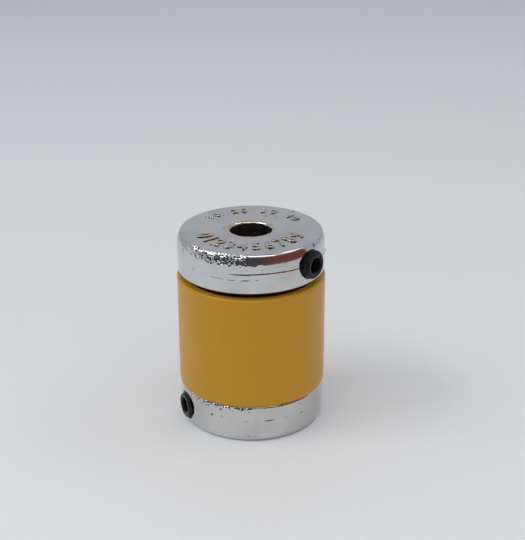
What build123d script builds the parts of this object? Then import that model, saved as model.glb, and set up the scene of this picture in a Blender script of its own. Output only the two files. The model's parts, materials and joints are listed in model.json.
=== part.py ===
from build123d import *
import os

# Shaft coupling: two die-cast hubs joined by a thin metal bellows, with a plastic sleeve
# around it. One set screw in each hub clamps a shaft.
#
# Origin at the centre of the lower hub's end face, +Z along the coupling's axis, -Y midway
# between the two set screws. Millimetres and degrees.

# Hubs
hub_diameter = 25.0
bore_diameter = 7.0
flange_height = 6.7
spigot_height = 2.0  # step that the sleeve's lip fits round
neck_length = 2.5  # carries one end of the bellows
edge_break = 0.5  # broken edge of the coupling's outer ends
polish_inset = 0.3  # the side leans in below that edge, where it was polished
polish_height = 1.7
inner_chamfer = 0.25
bore_chamfer = 0.45

# Sleeve
sleeve_overhang = 0.15  # how far it stands out past the hubs, all round
sleeve_wall = 1.6
sleeve_length = 19.6
sleeve_chamfer = 0.35
lip_height = 1.8  # inner lip, at the lower end only
end_gap = 1.0  # open gap between the sleeve and the upper hub

# Bellows
convolutions = 4
convolution_depth = 2.2
crest_width = 1.5
bellows_wall = 0.25

# Set screws, and where they stand
screw_diameter = 4.9
screw_length = 8.0
screw_chamfer = 0.45
key_size = 2.5  # hexagon across flats
key_depth = 2.3
cup_diameter = 2.6
cup_depth = 0.6
cup_taper = 55
screw_spread = 117.0  # angle between the two screws, seen along the axis
upper_screw_stand_out = 1.1
lower_screw_stand_out = 0.45

# Clearances, each on the radius or the length
tilt_clearance = 0.8  # upper spigot to sleeve, for the hub to tilt
lip_clearance = 0.05  # lower spigot to the sleeve's lip
bellows_clearance = 1.25  # bellows to sleeve
bond_clearance = 0.03  # bellows to neck, filled by the bond
bellows_end_clearance = 0.1  # end of the bellows to the spigot
thread_clearance = 0.05

# Sizes that follow, from the outside inwards
hub_radius = hub_diameter / 2
bore_radius = bore_diameter / 2
sleeve_radius = hub_radius + sleeve_overhang
sleeve_bore_radius = sleeve_radius - sleeve_wall
spigot_radius = sleeve_bore_radius - tilt_clearance
lip_radius = spigot_radius + lip_clearance
crest_radius = sleeve_bore_radius - bellows_clearance
root_radius = crest_radius - convolution_depth
neck_radius = root_radius - bellows_wall - bond_clearance
screw_radius = screw_diameter / 2

# Heights that follow, from the lower end upwards
spigot_top = flange_height + spigot_height
hub_length = spigot_top + neck_length
lip_top = flange_height + lip_height
sleeve_top = flange_height + sleeve_length
overall_length = sleeve_top + end_gap + flange_height
bellows_start = spigot_top + bellows_end_clearance
bellows_end = overall_length - bellows_start
pitch = (overall_length - 2 * hub_length) / convolutions


def facing_out(angle, height, distance=0):
    """Plane whose normal points straight out from the axis, at this angle and height."""
    outward = Vector(1, 0, 0).rotate(Axis.Z, angle)
    return Plane(origin=outward * distance + Vector(0, 0, height), x_dir=(0, 0, 1), z_dir=outward)


def make_hub(end_height, inward, screw_angle, screw_height):
    """Hub with its end face at end_height and its neck pointing inward, +1 up or -1 down."""
    half_section = Plane(origin=(0, 0, end_height), x_dir=(1, 0, 0), z_dir=(0, -inward, 0))
    with BuildPart() as hub:
        # Flange, spigot and neck with the bore, turned from one half section
        with BuildSketch(half_section):
            with BuildLine():
                Polyline(
                    (bore_radius, 0),
                    (hub_radius - polish_inset - edge_break, 0),
                    (hub_radius - polish_inset, edge_break),
                    (hub_radius, edge_break + polish_height),
                    (hub_radius, flange_height),
                    (spigot_radius, flange_height),
                    (spigot_radius, spigot_top),
                    (neck_radius, spigot_top),
                    (neck_radius, hub_length),
                    (bore_radius, hub_length),
                    close=True,
                )
            make_face()
        revolve(axis=Axis.Z)

        # Broken edges at the bore's mouth and at the flange's inner rim
        along = Axis((0, 0, 0), (0, 0, inward))
        rings = hub.edges().filter_by(GeomType.CIRCLE)
        chamfer(rings.group_by(SortBy.RADIUS)[0].sort_by(along)[0], length=bore_chamfer)
        chamfer(rings.group_by(SortBy.RADIUS)[-1].sort_by(along)[-1], length=inner_chamfer)

        # Tapped hole, from the bore out through the flange
        with BuildSketch(facing_out(screw_angle, screw_height)):
            Circle(screw_radius + thread_clearance)
        extrude(amount=hub_diameter, mode=Mode.SUBTRACT)
    return hub.part


def make_set_screw(angle, height, stand_out):
    """Socket set screw with a cup point, its outer end stand_out past the hub."""
    outer_end = facing_out(angle, height, hub_radius + stand_out)
    with BuildPart() as screw:
        with BuildSketch(outer_end):
            Circle(screw_radius)
        extrude(amount=-screw_length)
        chamfer(screw.edges().filter_by(GeomType.CIRCLE), length=screw_chamfer)
        with BuildSketch(outer_end):
            RegularPolygon(radius=key_size / 2, side_count=6, major_radius=False)
        extrude(amount=-key_depth, mode=Mode.SUBTRACT)
        with BuildSketch(outer_end.offset(-screw_length)):
            Circle(cup_diameter / 2)
        extrude(amount=cup_depth, taper=cup_taper, mode=Mode.SUBTRACT)
    return screw.part


# The two hubs are one casting, used both ways up, each with its screw at mid flange
lower_screw_angle = -90 - screw_spread / 2
lower_screw_height = flange_height / 2
upper_screw_angle = -90 + screw_spread / 2
upper_screw_height = overall_length - flange_height / 2

lower_hub = make_hub(0, 1, lower_screw_angle, lower_screw_height)
lower_hub.label = "lower_hub"

upper_hub = make_hub(overall_length, -1, upper_screw_angle, upper_screw_height)
upper_hub.label = "upper_hub"

lower_set_screw = make_set_screw(lower_screw_angle, lower_screw_height, lower_screw_stand_out)
lower_set_screw.label = "lower_set_screw"

upper_set_screw = make_set_screw(upper_screw_angle, upper_screw_height, upper_screw_stand_out)
upper_set_screw.label = "upper_set_screw"

# Bellows: one thin tube with folds, and a plain end over each hub's neck. Its outer surface
# is drawn from the lower end up, and the wall lies inside it.
outer_surface = [(root_radius, bellows_start)]
for fold in range(convolutions):
    fold_middle = hub_length + (fold + 0.5) * pitch
    lower_side = fold_middle - crest_width / 2
    upper_side = fold_middle + crest_width / 2
    outer_surface += [
        (root_radius, lower_side),
        (crest_radius, lower_side),
        (crest_radius, upper_side),
        (root_radius, upper_side),
    ]
outer_surface.append((root_radius, bellows_end))

with BuildPart() as bellows:
    with BuildSketch(Plane.XZ):
        with BuildLine():
            Polyline(*outer_surface)
            offset(amount=bellows_wall, side=Side.LEFT, kind=Kind.INTERSECTION)
        make_face()
    revolve(axis=Axis.Z)
bellows.part.label = "bellows"

# Sleeve: moulded tube that stands on the lower flange, its lip round the lower spigot
with BuildPart() as sleeve:
    with BuildSketch(Plane.XZ):
        with BuildLine():
            Polyline(
                (lip_radius, flange_height),
                (sleeve_radius, flange_height),
                (sleeve_radius, sleeve_top),
                (sleeve_bore_radius, sleeve_top),
                (sleeve_bore_radius, lip_top),
                (lip_radius, lip_top),
                close=True,
            )
        make_face()
    revolve(axis=Axis.Z)
    outer_rims = sleeve.edges().filter_by(GeomType.CIRCLE).group_by(SortBy.RADIUS)[-1]
    chamfer(outer_rims, length=sleeve_chamfer)
sleeve.part.label = "sleeve"

os.makedirs("parts", exist_ok=True)
export_step(lower_hub, "parts/lower_hub.step")
export_step(upper_hub, "parts/upper_hub.step")
export_step(lower_set_screw, "parts/lower_set_screw.step")
export_step(upper_set_screw, "parts/upper_set_screw.step")
export_step(bellows.part, "parts/bellows.step")
export_step(sleeve.part, "parts/sleeve.step")
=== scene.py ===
import json
import math

import bmesh
import bpy
import numpy as np
from mathutils import Matrix, Vector, noise


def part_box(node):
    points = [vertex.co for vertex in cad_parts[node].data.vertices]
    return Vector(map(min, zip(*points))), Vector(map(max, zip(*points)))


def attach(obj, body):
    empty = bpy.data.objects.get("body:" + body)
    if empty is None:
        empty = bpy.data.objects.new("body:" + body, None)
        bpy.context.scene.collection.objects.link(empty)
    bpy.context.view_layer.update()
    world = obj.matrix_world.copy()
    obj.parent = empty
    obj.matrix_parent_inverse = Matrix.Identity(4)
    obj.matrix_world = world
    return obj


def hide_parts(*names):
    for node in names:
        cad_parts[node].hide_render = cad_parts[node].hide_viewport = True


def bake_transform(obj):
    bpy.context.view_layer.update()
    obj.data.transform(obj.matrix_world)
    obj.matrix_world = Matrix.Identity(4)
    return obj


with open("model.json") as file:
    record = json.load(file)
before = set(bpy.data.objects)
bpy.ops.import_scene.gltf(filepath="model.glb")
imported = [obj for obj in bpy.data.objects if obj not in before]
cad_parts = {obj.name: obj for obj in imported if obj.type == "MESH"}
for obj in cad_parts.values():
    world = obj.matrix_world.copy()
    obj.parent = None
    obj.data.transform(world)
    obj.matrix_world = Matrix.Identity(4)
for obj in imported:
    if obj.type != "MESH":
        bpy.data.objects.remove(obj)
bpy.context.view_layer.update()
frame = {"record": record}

# ---------------------------------------------------------------------------------------
# Camera: a short telephoto lens a hand's length from the coupling, looking down on the
# upper hub, with the coupling a little left of the middle of the view. Angles about its
# axis are counted from the side that faces the camera, and grow to the right.
# ---------------------------------------------------------------------------------------
MM = 0.001
FRONT = math.radians(-83.5)

eye_distance = 197.8 * MM
eye_elevation = math.radians(22.6)
aim_right = 1.94
aim_height = 26.47
aim = Vector((-math.sin(FRONT), math.cos(FRONT), 0)) * aim_right * MM + Vector((0, 0, aim_height * MM))
towards_eye = Vector((
    math.cos(FRONT) * math.cos(eye_elevation),
    math.sin(FRONT) * math.cos(eye_elevation),
    math.sin(eye_elevation),
))
camera = bpy.data.objects.new("camera", bpy.data.cameras.new("camera"))
camera.data.lens = 77.2
camera.data.sensor_width = 36
camera.data.clip_start = 0.01
camera.location = aim + towards_eye * eye_distance
roll = Matrix.Rotation(math.radians(-0.25), 3, "Z")
camera.rotation_euler = ((-towards_eye).to_track_quat("-Z", "Y").to_matrix() @ roll).to_euler()
bpy.context.scene.collection.objects.link(camera)
bpy.context.scene.camera = camera
bpy.context.scene.view_settings.view_transform = "Standard"


# ---------------------------------------------------------------------------------------
# Table top: a plain pale sheet with a painted pool of light: its colour is lightest round the coupling and
# greyer further off.
# ---------------------------------------------------------------------------------------
def new_object(name, mesh):
    thing = bpy.data.objects.new(name, mesh)
    bpy.context.scene.collection.objects.link(thing)
    return thing


def new_material(name, **sockets):
    """A material with a Principled shader whose sockets have these values."""
    material = bpy.data.materials.new(name)
    material.use_nodes = True
    shader = material.node_tree.nodes["Principled BSDF"]
    for socket, value in sockets.items():
        shader.inputs[socket.replace("_", " ")].default_value = value
    return material, material.node_tree, shader


def add(tree, kind, sockets=None, **settings):
    """A node of this kind, with its settings, and its sockets set to values or joined to outputs."""
    node = tree.nodes.new(kind)
    for key, value in settings.items():
        setattr(node, key, value)
    for key, value in (sockets or {}).items():
        if isinstance(value, bpy.types.NodeSocket):
            tree.links.new(value, node.inputs[key])
        else:
            node.inputs[key].default_value = value
    return node


def ramp(tree, factor, stops):
    """Colours along a factor; each stop is (place, colour), and a number stands for a grey."""
    node = add(tree, "ShaderNodeValToRGB", {"Fac": factor})
    band = node.color_ramp
    while len(band.elements) < len(stops):
        band.elements.new(0.5)
    for element, (place, colour) in zip(band.elements, stops):
        element.position = place
        element.color = (colour, colour, colour, 1) if isinstance(colour, (int, float)) else (*colour, 1)
    return node.outputs["Color"]


table_radius = 3.0
table_drop = 0.01 * MM
table_mesh = bpy.data.meshes.new("table_top")
grid = bmesh.new()
bmesh.ops.create_circle(grid, cap_ends=True, segments=128, radius=table_radius)
bmesh.ops.translate(grid, verts=grid.verts, vec=(0, 0, -table_drop))
grid.to_mesh(table_mesh)
grid.free()
table_top = new_object("table_top", table_mesh)
table_paint, tree, shader = new_material("table_top", Roughness=0.55)
place = add(tree, "ShaderNodeTexCoord").outputs["Object"]
from_painted_light_centre = add(tree, "ShaderNodeVectorMath", {0: place, 1: (-0.16, 0.06, 0)}, operation="ADD")
distance = add(tree, "ShaderNodeVectorMath", {0: from_painted_light_centre.outputs["Vector"]}, operation="LENGTH")
share = add(tree, "ShaderNodeMapRange", {"Value": distance.outputs["Value"], "From Max": 0.9})
# painted light: the sheet's colour goes from pale near one spot by the coupling to grey far off, standing in
# for the lamps' pool of light
painted_light_pool = ramp(tree, share.outputs["Result"], [
    (0.0, (0.845, 0.85, 0.852)),
    (0.18, (0.82, 0.83, 0.84)),
    (0.45, (0.77, 0.78, 0.80)),
    (1.0, (0.66, 0.67, 0.70)),
])
tree.links.new(painted_light_pool, shader.inputs["Base Color"])
table_mesh.materials.append(table_paint)

# ---------------------------------------------------------------------------------------
# Light: a room lit from all sides, two soft lamps overhead left and right, and a wide one
# above the eye. A dark curved card below it stands for the unlit side of the room; only
# polished surfaces see it, as a painted reflection, for it glows dark grey and brown.
# ---------------------------------------------------------------------------------------
room = bpy.data.worlds.new("room")
bpy.context.scene.world = room
room.use_nodes = True
tree = room.node_tree
direction = add(tree, "ShaderNodeTexCoord").outputs["Generated"]
height = add(tree, "ShaderNodeSeparateXYZ", {"Vector": direction}).outputs["Z"]
walls = ramp(tree, height, [
    (0.0, (0.47, 0.48, 0.51)),
    (0.40, (0.51, 0.53, 0.57)),
    (0.9, (0.46, 0.465, 0.47)),
])
seen = add(tree, "ShaderNodeLightPath").outputs["Is Camera Ray"]
wall = add(tree, "ShaderNodeMix", {"Factor": seen, 6: walls, 7: (0.66, 0.69, 0.70, 1)}, data_type="RGBA")
tree.links.new(wall.outputs[2], tree.nodes["Background"].inputs["Color"])
tree.nodes["Background"].inputs["Strength"].default_value = 1.0


lamp_aim_height = 20 * MM


def soft_lamp(name, turn, elevation, distance, width, depth, power):
    """A lamp turned to the right of the front, aimed at the coupling; degrees, metres and watts."""
    lamp = bpy.data.objects.new(name, bpy.data.lights.new(name, "AREA"))
    lamp.data.shape = "RECTANGLE"
    lamp.data.size = width
    lamp.data.size_y = depth
    lamp.data.energy = power
    angle = FRONT + math.radians(turn)
    rise = math.radians(elevation)
    out = Vector((math.cos(angle) * math.cos(rise), math.sin(angle) * math.cos(rise), math.sin(rise)))
    lamp.location = out * distance + Vector((0, 0, lamp_aim_height))
    lamp.rotation_euler = out.to_track_quat("Z", "Y").to_euler()
    bpy.context.scene.collection.objects.link(lamp)


soft_lamp("left_lamp", turn=-75, elevation=48, distance=0.60, width=0.30, depth=0.20, power=0.95)
soft_lamp("right_lamp", turn=95, elevation=55, distance=0.60, width=0.30, depth=0.20, power=0.28)
soft_lamp("front_lamp", turn=0, elevation=56, distance=0.50, width=0.60, depth=0.12, power=0.48)

card_radius = 160 * MM
card_height = 140 * MM
card_turns = np.radians(np.linspace(-75, 90, 60)) + FRONT
card_mesh = bpy.data.meshes.new("dark_card")
card_points = [
    (card_radius * math.cos(turn), card_radius * math.sin(turn), height)
    for turn in card_turns
    for height in (0, card_height)
]
card_faces = [(2 * i, 2 * i + 2, 2 * i + 3, 2 * i + 1) for i in range(len(card_turns) - 1)]
card_mesh.from_pydata(card_points, [], card_faces)
dark_card = new_object("dark_card", card_mesh)
card_paint, tree, shader = new_material("dark_card", Roughness=1.0)
place = add(tree, "ShaderNodeTexCoord").outputs["Object"]
across = add(tree, "ShaderNodeSeparateXYZ", {0: place}).outputs["X"]
share = add(tree, "ShaderNodeMapRange", {"Value": across, "From Min": -0.04, "From Max": 0.21})
# painted reflection: the card glows dark grey turning to brown across its width; only glossy rays see it, so
# it shows as dark and brown bands in polished surfaces
painted_reflection_colour = ramp(tree, share.outputs["Result"], [
    (0.35, (0.06, 0.06, 0.065)),
    (0.5, (0.16, 0.05, 0.04)),
    (0.8, (0.20, 0.055, 0.04)),
])
tree.links.new(painted_reflection_colour, shader.inputs["Emission Color"])
shader.inputs["Emission Strength"].default_value = 1.0
shader.inputs["Base Color"].default_value = (0, 0, 0, 1)
card_mesh.materials.append(card_paint)
for kind in ("visible_camera", "visible_diffuse", "visible_shadow", "visible_transmission"):
    setattr(dark_card, kind, False)

# ---------------------------------------------------------------------------------------
# Hubs: zinc die castings with bright chrome plate. Polishing has rounded the outer edge and
# left it wavy, and the mould has left its parting line, flash and pits. The bore is bare.
# ---------------------------------------------------------------------------------------
hub_low, hub_high = (np.array(corner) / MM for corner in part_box("upper_hub"))
sleeve_low, sleeve_high = (np.array(corner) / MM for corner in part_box("sleeve"))
hub_radius = (hub_high[1] - hub_low[1]) / 2
hub_length = hub_high[2] - hub_low[2]
flange_height = sleeve_low[2]
bore_radius = frame["record"]["mounts"][0]["dims"]["r_mm"]
mouth_round = 0.45
mouth_radius = bore_radius + mouth_round
spigot_radius = 10.25
spigot_height = 2.0
neck_radius = 7.07
rim_width = 0.8
rim_height = 2.2
corner_width = 0.35
corner_height = 0.45
tapped_radius = 2.5
turns = FRONT + np.radians(np.concatenate([
    np.linspace(-75, 75, 440, endpoint=False),
    np.linspace(75, 285, 300, endpoint=False),
]))


def smooth_step(value, low, high):
    """0 below low and 1 above high, with a soft rise between."""
    share = np.clip((value - low) / (high - low), 0, 1)
    return share * share * (3 - 2 * share)


def window(value, low, high, soft):
    """1 between low and high, falling to 0 outside them over the soft width."""
    return smooth_step(value, low - soft, low) * (1 - smooth_step(value, high, high + soft))


def grain(points, size, seed=0.0):
    """Smooth noise at each point, about -1 to 1, with bumps of this size."""
    shift = Vector((seed, 1.7 * seed, 0.3))
    return np.array([noise.noise(Vector(point) / size + shift) for point in points])


def skin(name, rings, loop=False):
    """A mesh through rings of points, in millimetres: a closed loop of rings, or capped at both ends."""
    count = len(rings[0])
    points = np.concatenate(rings)
    faces = []
    for ring in range(len(rings) if loop else len(rings) - 1):
        here = ring * count
        there = (ring + 1) % len(rings) * count
        for column in range(count):
            beside = (column + 1) % count
            faces.append((here + column, here + beside, there + beside, there + column))
    if not loop:
        last = (len(rings) - 1) * count
        points = np.vstack([points, rings[0].mean(axis=0), rings[-1].mean(axis=0)])
        for column in range(count):
            beside = (column + 1) % count
            faces.append((len(points) - 2, beside, column))
            faces.append((len(points) - 1, last + column, last + beside))
    mesh = bpy.data.meshes.new(name)
    mesh.from_pydata((points * MM).tolist(), [], faces)
    mesh.polygons.foreach_set("use_smooth", [True] * len(faces))
    return mesh


def outward(mesh):
    """Turns every face of a closed mesh to look outwards."""
    shape = bmesh.new()
    shape.from_mesh(mesh)
    bmesh.ops.recalc_face_normals(shape, faces=shape.faces)
    shape.to_mesh(mesh)
    shape.free()


def cut(piece, cutter):
    """Takes the cutter's volume out of the piece."""
    modifier = piece.modifiers.new("cut", "BOOLEAN")
    modifier.object = cutter
    modifier.operation = "DIFFERENCE"
    modifier.solver = "EXACT"
    bpy.context.view_layer.update()
    seen_shape = piece.evaluated_get(bpy.context.evaluated_depsgraph_get())
    mesh = bpy.data.meshes.new_from_object(seen_shape)
    piece.modifiers.clear()
    piece.data = mesh
    bpy.data.objects.remove(cutter)


def hub_section():
    """Radius and depth of each ring of the hub, from the bore's mouth outwards and round to it again."""
    quarter = np.linspace(0, math.pi / 2, 26)
    side_end = flange_height - corner_height
    spigot_end = flange_height + spigot_height
    face = [(r, 0) for r in np.linspace(mouth_radius, hub_radius - rim_width, 28)[:-1]]
    rim = [(hub_radius - rim_width * (1 - math.sin(t)), rim_height * (1 - math.cos(t))) for t in quarter]
    side = [(hub_radius, h) for h in np.linspace(rim_height, side_end, 44)[1:-1]]
    corner = [
        (hub_radius - corner_width * (1 - math.cos(t)), flange_height - corner_height * (1 - math.sin(t)))
        for t in quarter[::5]
    ]
    back = [(r, flange_height) for r in np.linspace(hub_radius - 0.5, spigot_radius, 3)]
    spigot = [(spigot_radius, h) for h in np.linspace(flange_height + 0.3, spigot_end, 3)]
    step = [(r, spigot_end) for r in np.linspace(spigot_radius - 0.3, neck_radius, 3)]
    neck = [(neck_radius, h) for h in np.linspace(spigot_end + 0.3, hub_length, 3)]
    end = [(r, hub_length) for r in np.linspace(neck_radius - 0.3, bore_radius, 4)]
    bore = [(bore_radius, h) for h in np.linspace(hub_length - 0.5, mouth_round, 8)]
    mouth = [
        (mouth_radius - mouth_round * math.cos(t), mouth_round * (1 - math.sin(t)))
        for t in quarter[::3][1:-1]
    ]
    return np.array(face + rim + side + corner + back + spigot + step + neck + end + bore + mouth)


def face_lift(points, degrees, radius, seed):
    """Height of the cast end face: slight waves, streaks where the metal flowed, a burr round the bore."""
    flow = np.stack([degrees / 9, np.full(len(turns), radius / 6), np.zeros(len(turns))], axis=1)
    burr = smooth_step(-radius, -mouth_radius - 0.9, -mouth_radius)
    lift = 0.010 * grain(points, 2.2, seed) + 0.007 * grain(flow, 1.0, seed)
    return lift + burr * (0.04 + 0.035 * grain(points, 0.6, seed))


def side_lift(points, degrees, depth, rough, parting, pits, seed):
    """Height of the cast side: polishing waves, rough patches, parting lines and pits."""
    lift = 0.014 * grain(points, 2.6, seed) + 0.005 * grain(points, 0.9, seed + 5)
    for low, high, top, bottom, size, amount in rough:
        patch = window(degrees, low, high, 6) * window(depth, top, bottom, 0.3)
        if patch.max() > 0:
            lift += amount * patch * (grain(points, size, seed + 9) + 0.5 * grain(points, size / 2, seed))
    for low, high, where, amount in parting:
        wander = 0.05 * np.sin(np.radians(degrees) * 7 + seed)
        ridge = np.exp(-((depth - where - wander) / 0.10) ** 2)
        broken = 0.55 + 0.45 * grain(points, 1.2, seed + 3)
        lift += amount * ridge * broken * window(degrees, low, high, 4)
    for where, down, size in pits:
        apart = np.hypot(np.radians(degrees - where) * hub_radius, depth - down)
        lift -= 0.6 * size * np.exp(-((apart / size) ** 2))
    return lift


def drill(hub, chrome, centre, out):
    """Drills the set screw's hole through centre along out, and leaves it and the bore unplated, in near-black
    zinc that is partly painted shade.
    """
    hole_mesh = bpy.data.meshes.new("hole")
    shape = bmesh.new()
    radius = tapped_radius * MM
    bmesh.ops.create_cone(
        shape, cap_ends=True, segments=96, radius1=radius, radius2=radius, depth=12 * MM,
    )
    shape.to_mesh(hole_mesh)
    shape.free()
    hole = new_object("hole", hole_mesh)
    hole.matrix_world = Matrix.Translation(centre) @ out.to_track_quat("Z", "Y").to_matrix().to_4x4()
    cut(hub, hole)
    hub.data.materials.append(chrome)
    hub.data.materials.append(bare_zinc)
    for face in hub.data.polygons:
        middle = face.center / MM
        in_bore = math.hypot(middle.x, middle.y) < bore_radius + 0.03
        in_hole = (middle - centre / MM).cross(out).length < tapped_radius + 0.02
        in_hole = in_hole and middle.xy.length < hub_radius - 0.15
        face.material_index = 1 if in_bore or in_hole else 0
        face.use_smooth = True


def cast_hub(name, chrome, end_height, inward, screw_turn, screw_depth, rough, parting, pits, seed):
    """One hub, its end face at end_height. rough, parting and pits say where the casting's marks lie.

    Angles are in degrees from the front, and depths and sizes in millimetres from the end face:
    rough holds (from, to, top, bottom, size, height), parting (from, to, depth, height) and pits
    (angle, depth, size).
    """
    section = hub_section()
    slope = np.roll(section, -1, axis=0) - np.roll(section, 1, axis=0)
    across = np.stack([slope[:, 1], -slope[:, 0]], axis=1)
    across /= np.linalg.norm(across, axis=1)[:, None]
    degrees = (np.degrees(turns - FRONT) + 180) % 360 - 180
    rings = []
    for (radius, depth), (out_r, out_h) in zip(section, across):
        base = np.stack([radius * np.cos(turns), radius * np.sin(turns), np.full(len(turns), depth)], axis=1)
        lift = np.zeros(len(turns))
        if depth < 0.02 and radius > bore_radius:
            lift += face_lift(base, degrees, radius, seed)
        if radius < mouth_radius and depth < mouth_round + 0.01:
            lift += 0.05 * grain(base, 0.7, seed) + 0.012 * grain(base, 0.3, seed)
        if radius > hub_radius - rim_width - 0.01 and depth < flange_height - 0.1:
            lift += side_lift(base, degrees, depth, rough, parting, pits, seed)
        height = end_height + inward * (depth + lift * out_h)
        spread = radius + lift * out_r
        rings.append(np.stack([spread * np.cos(turns), spread * np.sin(turns), height], axis=1))
    mesh = skin(name, rings, loop=True)
    outward(mesh)
    hub = new_object(name, mesh)
    out = Vector((math.cos(screw_turn), math.sin(screw_turn), 0))
    centre = out * 9 * MM + Vector((0, 0, (end_height + inward * screw_depth) * MM))
    drill(hub, chrome, centre, out)
    hub.data.set_sharp_from_angle(angle=math.radians(38))
    return hub


def texture_group(name, inputs, outputs):
    """An empty node group with these sockets; returns it with its input and output nodes."""
    group = bpy.data.node_groups.new(name, "ShaderNodeTree")
    for socket, value in inputs.items():
        made = group.interface.new_socket(socket, in_out="INPUT", socket_type="NodeSocketFloat")
        made.default_value = value
    for socket in outputs:
        group.interface.new_socket(socket, in_out="OUTPUT", socket_type="NodeSocketFloat")
    return group, group.nodes.new("NodeGroupInput"), group.nodes.new("NodeGroupOutput")


# Handling marks: soft smudges, and hair-fine scratches that lie across each other
handling, given, made = texture_group("handling", {"Size": 200.0, "Scratches": 0.3}, ["Smudge", "Height"])
place = add(handling, "ShaderNodeTexCoord").outputs["Object"]
cloud = add(handling, "ShaderNodeTexNoise", {"Vector": place, "Scale": given.outputs["Size"], "Detail": 4.0})
cloud = cloud.outputs["Fac"]
smudge = add(handling, "ShaderNodeMapRange", {"Value": cloud, "From Min": 0.4, "From Max": 0.7})
turned = add(
    handling, "ShaderNodeMapping", {"Vector": place, "Rotation": (0.6, 0.4, 0.9), "Scale": (3000, 90, 600)},
)
streaks = add(handling, "ShaderNodeTexNoise", {"Vector": turned.outputs[0], "Scale": 1.0, "Detail": 2.0})
streaks = streaks.outputs["Fac"]
thin = add(handling, "ShaderNodeMapRange", {"Value": streaks, "From Min": 0.66, "From Max": 0.72}).outputs[0]
depth = add(handling, "ShaderNodeMath", {0: thin, 1: given.outputs["Scratches"]}, operation="MULTIPLY")
handling.links.new(smudge.outputs[0], made.inputs["Smudge"])
handling.links.new(depth.outputs[0], made.inputs["Height"])

# Specks: small round hollows, scattered and of uneven size
specks, given, made = texture_group("specks", {"Size": 900.0, "Amount": 0.2}, ["Mask"])
place = add(specks, "ShaderNodeTexCoord").outputs["Object"]
cells = add(specks, "ShaderNodeTexVoronoi", {"Vector": place, "Scale": given.outputs["Size"]})
limit = add(specks, "ShaderNodeSeparateColor", {0: cells.outputs["Color"]}).outputs["Red"]
reach = add(specks, "ShaderNodeMath", {0: limit, 1: 12.0}, operation="POWER").outputs[0]
reach = add(specks, "ShaderNodeMath", {0: reach, 1: given.outputs["Amount"]}, operation="MULTIPLY")
inside = add(
    specks, "ShaderNodeMath", {0: reach.outputs[0], 1: cells.outputs["Distance"]}, operation="SUBTRACT",
)
mask = add(specks, "ShaderNodeMapRange", {"Value": inside.outputs[0], "From Max": 0.08}).outputs["Result"]
specks.links.new(mask, made.inputs["Mask"])


def place_group(tree, group, **values):
    """The group's node, with its inputs set."""
    node = add(tree, "ShaderNodeGroup", node_tree=group)
    for socket, value in values.items():
        node.inputs[socket].default_value = value
    return node


def chrome_plate(name, grain_depth, warm_from, warm_to):
    """Chrome plate over a cast skin this coarse, in metres; between two radii it is tinted warm in patches,
    partly a thin plate over a warm undercoat and partly a painted warm reflection.
    """
    material, tree, shader = new_material(name, Metallic=1.0)
    place = add(tree, "ShaderNodeTexCoord").outputs["Object"]
    marks = place_group(tree, handling, Size=160.0, Scratches=0.25)
    smudge = marks.outputs["Smudge"]
    holes = place_group(tree, specks, Size=1100.0, Amount=0.35).outputs["Mask"]
    plate = ramp(tree, smudge, [(0.0, (0.64, 0.64, 0.635)), (1.0, (0.55, 0.55, 0.54))])

    flat = add(tree, "ShaderNodeVectorMath", {0: place, 1: (1, 1, 0)}, operation="MULTIPLY")
    around = add(tree, "ShaderNodeVectorMath", {0: flat.outputs["Vector"]}, operation="LENGTH")
    around = around.outputs["Value"]
    close = add(tree, "ShaderNodeMapRange", {"Value": around, "From Min": warm_to, "From Max": warm_from})
    close = close.outputs["Result"]
    patch = add(tree, "ShaderNodeTexNoise", {"Vector": place, "Scale": 900.0, "Detail": 2.0}).outputs["Fac"]
    patch = add(tree, "ShaderNodeMapRange", {"Value": patch, "From Min": 0.35, "From Max": 0.6})
    patch = patch.outputs["Result"]
    # painted reflection, in part: the warm patches near the bore mouth and over the figures stand in for warm
    # glints from the room, as well as for thin plate
    thin = add(tree, "ShaderNodeMath", {0: close, 1: patch}, operation="MULTIPLY").outputs[0]
    warm = add(tree, "ShaderNodeMix", {"Factor": thin, 6: plate, 7: (0.60, 0.49, 0.33, 1)}, data_type="RGBA")
    warm = warm.outputs[2]
    pitted = add(tree, "ShaderNodeMix", {"Factor": holes, 6: warm, 7: (0.12, 0.11, 0.10, 1)}, data_type="RGBA")
    tree.links.new(pitted.outputs[2], shader.inputs["Base Color"])

    gloss = add(tree, "ShaderNodeMapRange", {"Value": smudge, "To Min": 0.06, "To Max": 0.15})
    tree.links.new(gloss.outputs[0], shader.inputs["Roughness"])
    peel = add(tree, "ShaderNodeTexNoise", {"Vector": place, "Scale": 1500.0, "Detail": 3.0}).outputs["Fac"]
    scratch = marks.outputs["Height"]
    relief = add(tree, "ShaderNodeMath", {0: scratch, 1: 0.3, 2: peel}, operation="MULTIPLY_ADD")
    relief = add(tree, "ShaderNodeMath", {0: relief.outputs[0], 1: holes}, operation="SUBTRACT").outputs[0]
    bump = add(tree, "ShaderNodeBump", {"Height": relief, "Distance": grain_depth})
    tree.links.new(bump.outputs[0], shader.inputs["Normal"])
    return material


upper_chrome = chrome_plate("smooth_chrome_plate", 0.012 * MM, 3.9 * MM, 4.6 * MM)
lower_chrome = chrome_plate("grainy_chrome_plate", 0.035 * MM, 3.9 * MM, 4.6 * MM)
# the figures are tinted warm all over: partly thin plate, partly painted warm glints
figure_chrome = chrome_plate("thin_chrome_plate", 0.012 * MM, 4.0 * MM, 15.0 * MM)

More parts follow.
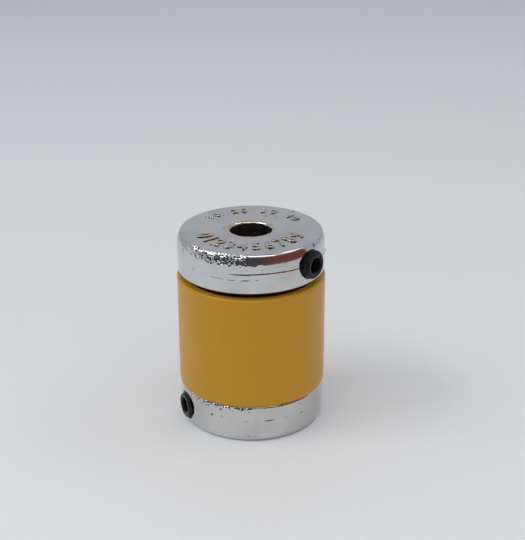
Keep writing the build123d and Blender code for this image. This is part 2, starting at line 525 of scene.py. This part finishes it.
# painted shade, in part: the bare zinc of the bore and the tapped holes is coloured near black, far darker
# than zinc, so these holes read dark
bare_zinc, tree, shader = new_material("bare_zinc", Metallic=1.0)
place = add(tree, "ShaderNodeTexCoord").outputs["Object"]
dull = add(tree, "ShaderNodeTexNoise", {"Vector": place, "Scale": 900.0, "Detail": 5.0}).outputs["Fac"]
grey = ramp(tree, dull, [(0.3, (0.05, 0.048, 0.045)), (0.7, (0.13, 0.125, 0.12))])
tree.links.new(grey, shader.inputs["Base Color"])
coarse = add(tree, "ShaderNodeMapRange", {"Value": dull, "To Min": 0.35, "To Max": 0.65})
tree.links.new(coarse.outputs[0], shader.inputs["Roughness"])
bump = add(tree, "ShaderNodeBump", {"Height": dull, "Distance": 0.03 * MM})
tree.links.new(bump.outputs[0], shader.inputs["Normal"])

screw_centres = {}
for node in ("upper_set_screw", "lower_set_screw"):
    low, high = (np.array(corner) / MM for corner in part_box(node))
    middle = (low + high) / 2
    screw_centres[node] = (math.atan2(middle[1], middle[0]), middle[2])

overall_height = hub_high[2]
upper_turn, upper_screw_height = screw_centres["upper_set_screw"]
upper_hub = cast_hub(
    "upper_hub_casting", upper_chrome, overall_height, -1, upper_turn, overall_height - upper_screw_height,
    rough=[
        (-64, -5, 0.1, 1.7, 0.40, 0.10),
        (-60, 8, 0.9, 2.4, 0.9, 0.05),
        (-75, 60, 2.2, 6.4, 0.5, 0.006),
    ],
    parting=[(-14, 48, 3.3, 0.12), (-30, 6, 4.3, 0.05), (66, 88, 3.3, 0.20)],
    pits=[
        (-49, 3.9, 0.16), (-28, 1.6, 0.07), (-20, 2.3, 0.06), (-35, 3.4, 0.05), (-9, 4.6, 0.08),
        (-3, 6.1, 0.09), (38, 5.1, 0.08), (9, 4.2, 0.05), (-26, 5.0, 0.05), (22, 4.9, 0.05),
    ],
    seed=3.0,
)
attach(upper_hub, "upper_end")
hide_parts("upper_hub")

lower_turn, lower_screw_height = screw_centres["lower_set_screw"]
lower_hub = cast_hub(
    "lower_hub_casting", lower_chrome, 0, 1, lower_turn, lower_screw_height,
    rough=[
        (-54, -4, 5.9, 6.7, 0.40, 0.16),
        (-75, 75, 2.0, 6.0, 0.5, 0.014),
        (-10, 60, 6.3, 6.7, 0.8, 0.05),
    ],
    parting=[(-8, 22, 4.0, 0.13), (27, 56, 3.9, 0.12)],
    pits=[(-17, 3.8, 0.12), (-12, 4.0, 0.07), (16, 2.7, 0.06), (2, 2.2, 0.04), (-33, 5.0, 0.04)],
    seed=11.0,
)
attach(lower_hub, "lower_end")
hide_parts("lower_hub")

# ---------------------------------------------------------------------------------------
# Raised numbers on the upper hub's end face, cast with it: a row of large figures on the
# near side and small ones on the far side, softened by the polishing and the plate.
# ---------------------------------------------------------------------------------------
figure_half_thickness = 0.24


def figure_row(text, height, squeeze, radius, first, last, tops_out):
    """Meshes of the characters of text, spread from first to last degrees at this radius."""
    meshes = []
    for index, character in enumerate(text):
        if character == " ":
            continue
        share = index / (len(text) - 1)
        turn = FRONT + math.radians(first + (last - first) * share)
        curve = bpy.data.curves.new("figure", "FONT")
        curve.body = character
        curve.size = height * 1.37 * MM
        curve.extrude = figure_half_thickness * MM
        curve.offset = 0.029 * height * MM
        curve.align_x = "CENTER"
        figure = new_object("figure", curve)
        bpy.context.view_layer.update()
        mesh = bpy.data.meshes.new_from_object(figure.evaluated_get(bpy.context.evaluated_depsgraph_get()))
        bpy.data.objects.remove(figure)
        facing = turn + (-math.pi / 2 if tops_out else math.pi / 2)
        centre = Vector((math.cos(turn), math.sin(turn), 0)) * radius * MM
        mesh.transform(
            Matrix.Translation(centre + Vector((0, 0, overall_height * MM)))
            @ Matrix.Rotation(facing, 4, "Z")
            @ Matrix.Translation((0, -height * MM / 2, 0))
            @ Matrix.Diagonal((squeeze, 1, 1, 1))
        )
        meshes.append(mesh)
    return meshes


numbers_shape = bmesh.new()
for mesh in (
    figure_row("0123456789", height=3.1, squeeze=0.80, radius=8.05, first=-68, last=66, tops_out=False)
    + figure_row("10 20 30 40", height=1.8, squeeze=0.9, radius=9.1, first=-128, last=-238, tops_out=True)
):
    numbers_shape.from_mesh(mesh)
bmesh.ops.remove_doubles(numbers_shape, verts=numbers_shape.verts, dist=0.001 * MM)
numbers_mesh = bpy.data.meshes.new("upper_hub_numbers")
numbers_shape.to_mesh(numbers_mesh)
numbers_shape.free()
numbers = new_object("upper_hub_numbers", numbers_mesh)
melt = numbers.modifiers.new("melt", "REMESH")
melt.mode = "VOXEL"
melt.voxel_size = 0.065 * MM
even = numbers.modifiers.new("even", "SMOOTH")
even.iterations = 2
bpy.context.view_layer.update()
melted = numbers.evaluated_get(bpy.context.evaluated_depsgraph_get())
numbers_mesh = bpy.data.meshes.new_from_object(melted)
numbers.modifiers.clear()
numbers.data = numbers_mesh
points = np.array([vertex.co for vertex in numbers_mesh.vertices]) / MM
points[:, 2] += 0.09 * grain(points, 0.35, 2.0) * (points[:, 2] > overall_height)
points[:, :2] *= 1 + 0.004 * grain(points, 0.5, 4.0)[:, None]
numbers_mesh.vertices.foreach_set("co", (points * MM).ravel())
numbers_mesh.materials.append(figure_chrome)
for face in numbers_mesh.polygons:
    face.use_smooth = True
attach(numbers, "upper_end")

# ---------------------------------------------------------------------------------------
# Set screws: M5 socket screws with a cup point, rolled thread and black oxide finish, run
# into the tapped holes and left standing out of the hubs.
# ---------------------------------------------------------------------------------------
screw_length = 8.0
screw_radius = 2.45
thread_pitch = 0.8
thread_depth = 0.43
key_half = 1.25
screw_columns = 96
ring_spacing = 0.05


def screw_rings():
    """Rings of the screw from the bottom of its socket, over its top at height 0, to the cup in its point."""
    turn = np.arange(screw_columns) * 2 * math.pi / screw_columns
    hexagon = key_half / np.cos((turn + math.pi / 6) % (math.pi / 3) - math.pi / 6)

    def ring(radius, height):
        radius = np.broadcast_to(radius, turn.shape)
        return np.stack([radius * np.cos(turn), radius * np.sin(turn), np.full_like(turn, height)], axis=1)

    rings = [ring(0.3, -2.9), ring(0.9, -2.55), ring(hexagon, -2.3), ring(hexagon, -1.2), ring(hexagon, -0.18)]
    rings += [ring(1.50, -0.03), ring(1.56, 0), ring(1.75, 0), ring(1.93, 0), ring(2.0, -0.02)]
    for along in np.arange(ring_spacing, screw_length - 0.04, ring_spacing):
        phase = (along / thread_pitch - turn / (2 * math.pi)) % 1
        groove = np.clip(np.minimum(phase, 1 - phase) * 2.6 - 0.25, 0, 1)
        body = screw_radius - thread_depth * (1 - groove)
        chamfered = min(2.0 + 1.1 * along, 1.75 + 1.1 * (screw_length - along))
        rings.append(ring(np.minimum(body, chamfered), -along))
    rings += [ring(1.6, -screw_length), ring(1.3, -screw_length), ring(0.25, -screw_length + 0.6)]
    return rings


black_oxide, tree, shader = new_material("black_oxide", Metallic=0.7)
place = add(tree, "ShaderNodeTexCoord").outputs["Object"]
marks = place_group(tree, handling, Size=500.0, Scratches=0.4)
mottle = ramp(tree, marks.outputs["Smudge"], [(0.0, (0.012, 0.011, 0.012)), (1.0, (0.035, 0.030, 0.028))])
tree.links.new(mottle, shader.inputs["Base Color"])
gloss = add(tree, "ShaderNodeMapRange", {"Value": marks.outputs["Smudge"], "To Min": 0.32, "To Max": 0.5})
tree.links.new(gloss.outputs[0], shader.inputs["Roughness"])
peel = add(tree, "ShaderNodeTexNoise", {"Vector": place, "Scale": 2500.0, "Detail": 3.0}).outputs["Fac"]
bump = add(tree, "ShaderNodeBump", {"Height": peel, "Distance": 0.01 * MM})
tree.links.new(bump.outputs[0], shader.inputs["Normal"])

for node, body, spin in (("upper_set_screw", "upper_end", 12), ("lower_set_screw", "lower_end", 40)):
    low, high = (np.array(corner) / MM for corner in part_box(node))
    turn, height = screw_centres[node]
    reach = np.hypot(*((low + high) / 2)[:2]) + screw_length / 2
    mesh = skin(node + "_threaded", screw_rings())
    outward(mesh)
    out = Vector((math.cos(turn), math.sin(turn), 0))
    mesh.transform(
        Matrix.Translation((out * reach + Vector((0, 0, height))) * MM)
        @ out.to_track_quat("Z", "Y").to_matrix().to_4x4()
        @ Matrix.Rotation(math.radians(spin), 4, "Z")
    )
    mesh.materials.append(black_oxide)
    mesh.set_sharp_from_angle(angle=math.radians(35))
    screw = new_object(node + "_threaded", mesh)
    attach(screw, body)
    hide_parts(node)

# ---------------------------------------------------------------------------------------
# Sleeve: moulded mustard-coloured plastic, smooth and half glossy, its outer edges rounded.
# It stands on the lower hub and stops short of the upper one.
# ---------------------------------------------------------------------------------------
def turned_rings(section, columns):
    """Rings that turn a section of (radius, height) about the coupling's axis."""
    turn = np.arange(columns) * 2 * math.pi / columns
    return [np.stack([r * np.cos(turn), r * np.sin(turn), np.full(columns, z)], axis=1) for r, z in section]


sleeve_radius = sleeve_high[0]
sleeve_bore = sleeve_radius - 1.6
lip_radius = spigot_radius + 0.05
sleeve_bottom, sleeve_top = sleeve_low[2], sleeve_high[2]
outer_round = 0.4
inner_round = 0.25
rounded = sleeve_radius - outer_round
bottom_round = sleeve_bottom + outer_round
top_round = sleeve_top - outer_round
quarter = np.linspace(0, math.pi / 2, 9)
section = [(rounded + outer_round * math.sin(t), bottom_round - outer_round * math.cos(t)) for t in quarter]
section += [(sleeve_radius, z) for z in np.linspace(bottom_round, top_round, 60)[1:-1]]
section += [(rounded + outer_round * math.cos(t), top_round + outer_round * math.sin(t)) for t in quarter]
section += [
    (sleeve_bore + inner_round * (1 - math.sin(t)), sleeve_top - inner_round * (1 - math.cos(t)))
    for t in quarter[::2]
]
section += [(sleeve_bore, 20.0), (sleeve_bore, 14.0), (sleeve_bore, 8.52)]
section += [(lip_radius + 0.1, 8.5), (lip_radius, 8.4)]
section += [(lip_radius, sleeve_bottom + 0.2), (lip_radius + 0.2, sleeve_bottom)]
mesh = skin("mustard_sleeve", turned_rings(section, 256), loop=True)
outward(mesh)
mesh.set_sharp_from_angle(angle=math.radians(38))

mustard, tree, shader = new_material("mustard_plastic", IOR=1.4)
place = add(tree, "ShaderNodeTexCoord").outputs["Object"]
marks = place_group(tree, handling, Size=90.0, Scratches=0.15)
flow = add(tree, "ShaderNodeMapping", {"Vector": place, "Scale": (60, 60, 25)})
flow = add(tree, "ShaderNodeTexNoise", {"Vector": flow.outputs[0], "Scale": 1.0, "Detail": 2.0}).outputs["Fac"]
ochre = ramp(tree, flow, [(0.3, (0.50, 0.245, 0.006)), (0.7, (0.54, 0.27, 0.010))])
tree.links.new(ochre, shader.inputs["Base Color"])
gloss = add(tree, "ShaderNodeMapRange", {"Value": marks.outputs["Smudge"], "To Min": 0.28, "To Max": 0.38})
tree.links.new(gloss.outputs[0], shader.inputs["Roughness"])
peel = add(tree, "ShaderNodeTexNoise", {"Vector": place, "Scale": 1500.0, "Detail": 2.0}).outputs["Fac"]
scratch = marks.outputs["Height"]
relief = add(tree, "ShaderNodeMath", {0: peel, 1: 0.5, 2: scratch}, operation="MULTIPLY_ADD")
bump = add(tree, "ShaderNodeBump", {"Height": relief.outputs[0], "Distance": 0.003 * MM})
tree.links.new(bump.outputs[0], shader.inputs["Normal"])
mesh.materials.append(mustard)
sleeve = new_object("mustard_sleeve", mesh)
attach(sleeve, "lower_end")
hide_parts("sleeve")

# ---------------------------------------------------------------------------------------
# Bellows: thin stainless tube with rounded folds, bonded over both necks. It is made in two
# halves, each between one end of the coupling and the middle.
# ---------------------------------------------------------------------------------------
bellows_low, bellows_high = (np.array(corner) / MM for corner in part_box("bellows"))
folds = 4
wall = 0.25
bond = 0.03
crest_radius = bellows_high[0]
root_radius = neck_radius + bond + wall
folds_start = hub_length
folds_end = overall_height - hub_length
middle_height = (folds_start + folds_end) / 2
pitch = (folds_end - folds_start) / folds
crest_mid = crest_radius - wall / 2
root_mid = root_radius - wall / 2


def fold_wave(height):
    """Radius of the wall's middle surface at this height: a wave, flattened at its crests and roots."""
    share = (height - folds_start) / pitch
    wave = 0.5 - 0.5 * np.cos(2 * math.pi * share)
    return root_mid + (crest_mid - root_mid) * np.clip(1.5 * wave - 0.25, 0, 1)


stainless, tree, shader = new_material("bright_stainless", Metallic=1.0)
place = add(tree, "ShaderNodeTexCoord").outputs["Object"]
drawn = add(tree, "ShaderNodeMapping", {"Vector": place, "Scale": (300, 300, 4000)})
drawn = add(tree, "ShaderNodeTexNoise", {"Vector": drawn.outputs[0], "Scale": 1.0}).outputs["Fac"]
steel = ramp(tree, drawn, [(0.3, (0.50, 0.49, 0.47)), (0.7, (0.58, 0.57, 0.55))])
tree.links.new(steel, shader.inputs["Base Color"])
gloss = add(tree, "ShaderNodeMapRange", {"Value": drawn, "To Min": 0.2, "To Max": 0.35})
tree.links.new(gloss.outputs[0], shader.inputs["Roughness"])

for name, start, end, near_body, near_height in (
    ("bellows_lower_half", bellows_low[2], middle_height, "lower_end", folds_start),
    ("bellows_upper_half", middle_height, bellows_high[2], "upper_end", folds_end),
):
    heights = np.linspace(start, end, 110)
    radii = np.where((heights < folds_start) | (heights > folds_end), root_mid, fold_wave(heights))
    slope = np.gradient(radii, heights)
    lean = np.hypot(1, slope)
    outer = np.stack([radii + wall / 2 / lean, heights - wall / 2 * slope / lean], axis=1)
    inner = np.stack([radii - wall / 2 / lean, heights + wall / 2 * slope / lean], axis=1)
    mesh = skin(name, turned_rings(np.vstack([outer, inner[::-1]]), 128), loop=True)
    outward(mesh)
    mesh.materials.append(stainless)
    half = new_object(name, mesh)
    middle = Vector((0, 0, middle_height * MM))
    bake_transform(half)
    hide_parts("bellows")
